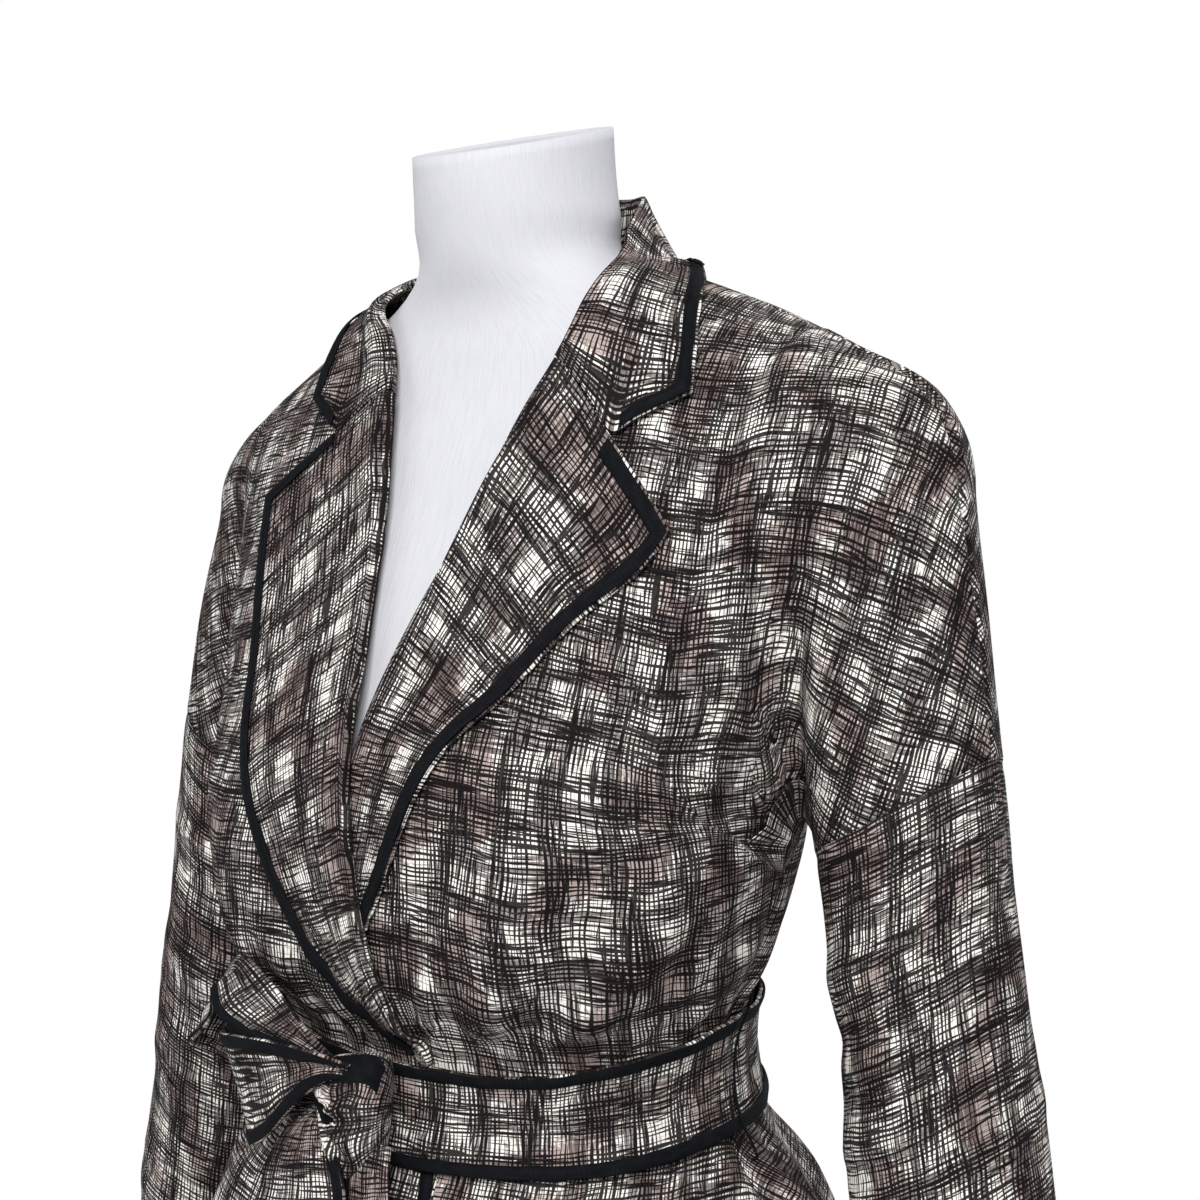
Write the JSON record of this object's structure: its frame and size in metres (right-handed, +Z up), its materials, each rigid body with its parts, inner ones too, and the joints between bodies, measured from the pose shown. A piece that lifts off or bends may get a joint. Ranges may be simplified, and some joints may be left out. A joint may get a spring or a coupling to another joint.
{
  "type": "trench coat on dress form",
  "caption": "Belted wrap trench coat with notched lapels, cut-on sleeves and a tied bow, worn by a limbless dress form on a round stand.",
  "frame": {"origin": "centre of the stand's underside, on the floor", "axes": "+Z up, the coat's front faces -Y, the wearer's left is +X"},
  "size_m": [0.6832, 0.433, 1.4927],
  "materials": {
    "printed_cotton": "cotton with an inked crosshatch check on cream",
    "navy_twill": "navy twill binding and thread",
    "white_jersey": "white knitted cover of the dress form",
    "satin_steel": "satin steel"
  },
  "bodies": {
    "root": {"back": "printed_cotton", "belt": "printed_cotton", "belt_binding_bottom": "navy_twill", "belt_binding_top": "navy_twill", "bow_loop_front": "printed_cotton", "bow_loop_upper": "printed_cotton", "collar": "printed_cotton", "collar_binding": "navy_twill", "dress_form": "white_jersey", "front_left": "printed_cotton", "front_right": "printed_cotton", "gusset_left": "printed_cotton", "gusset_right": "printed_cotton", "knot": "printed_cotton", "lapel_binding_left": "navy_twill", "lapel_binding_right": "navy_twill", "lapel_left": "printed_cotton", "lapel_right": "printed_cotton", "sleeve_left": "printed_cotton", "sleeve_right": "printed_cotton", "stand_base": "satin_steel", "stand_pole": "satin_steel", "tail_back": "printed_cotton", "tail_front": "printed_cotton", "thread_carrier_left": "navy_twill", "thread_carrier_right": "navy_twill"}
  },
  "joints": []
}
